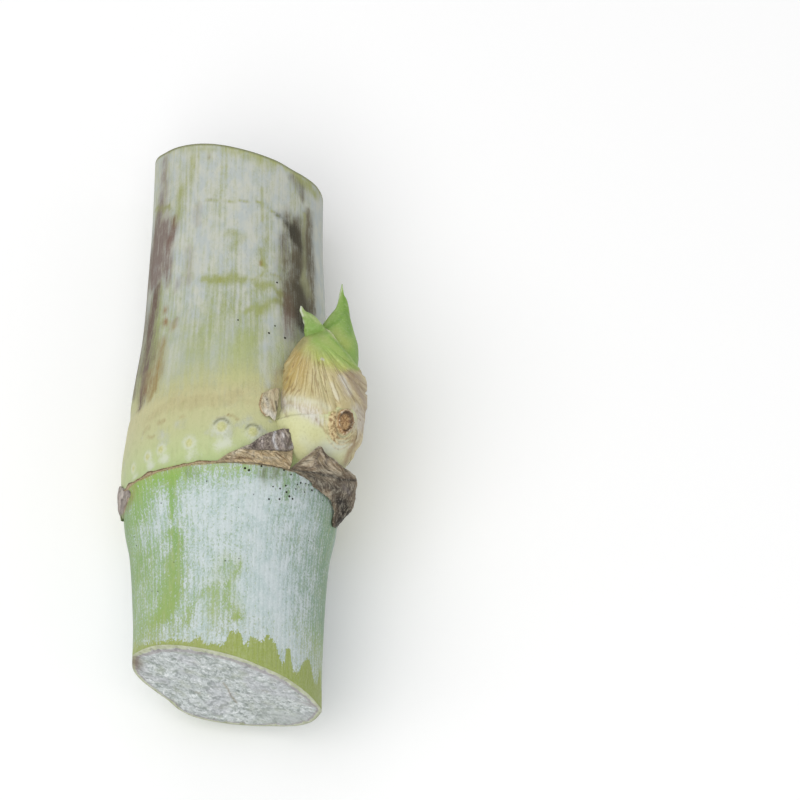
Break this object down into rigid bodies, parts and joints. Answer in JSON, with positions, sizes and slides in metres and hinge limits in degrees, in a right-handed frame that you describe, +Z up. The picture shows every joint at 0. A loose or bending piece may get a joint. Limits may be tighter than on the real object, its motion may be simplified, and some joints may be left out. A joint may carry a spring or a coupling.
{
  "type": "napier grass cutting",
  "caption": "Short length of napier grass cane cut above and below one node, with its swollen node, bud, root eyes and torn sheath scraps, lying on its side.",
  "frame": {"origin": "on the small flat spot under the swollen node, where the cutting rests on the surface", "axes": "+Z up, +Y along the stem towards its upper end, +X towards the side that the bud leans to"},
  "size_m": [0.0357, 0.0852, 0.0327],
  "materials": {
    "rind": "waxy green rind with a blue-white bloom",
    "bud_flesh": "smooth pale yellow-green",
    "outer_scale": "satin tan, finely ribbed, green at the tip",
    "inner_scale": "satin fresh green",
    "grey_sheath": "dry, matt grey-brown",
    "tan_sheath": "dry, matt tan",
    "mauve_sheath": "dry, matt purple-grey",
    "bract": "dry, papery cream"
  },
  "bodies": {
    "root": {"cane": "rind", "bud_base": "bud_flesh", "bud_outer_scale": "outer_scale", "bud_inner_scale": "inner_scale", "bud_bract": "bract", "sheath_flap_grey": "grey_sheath", "sheath_flap_tan": "tan_sheath", "sheath_flap_right": "grey_sheath", "sheath_edge_left": "mauve_sheath"}
  },
  "joints": []
}
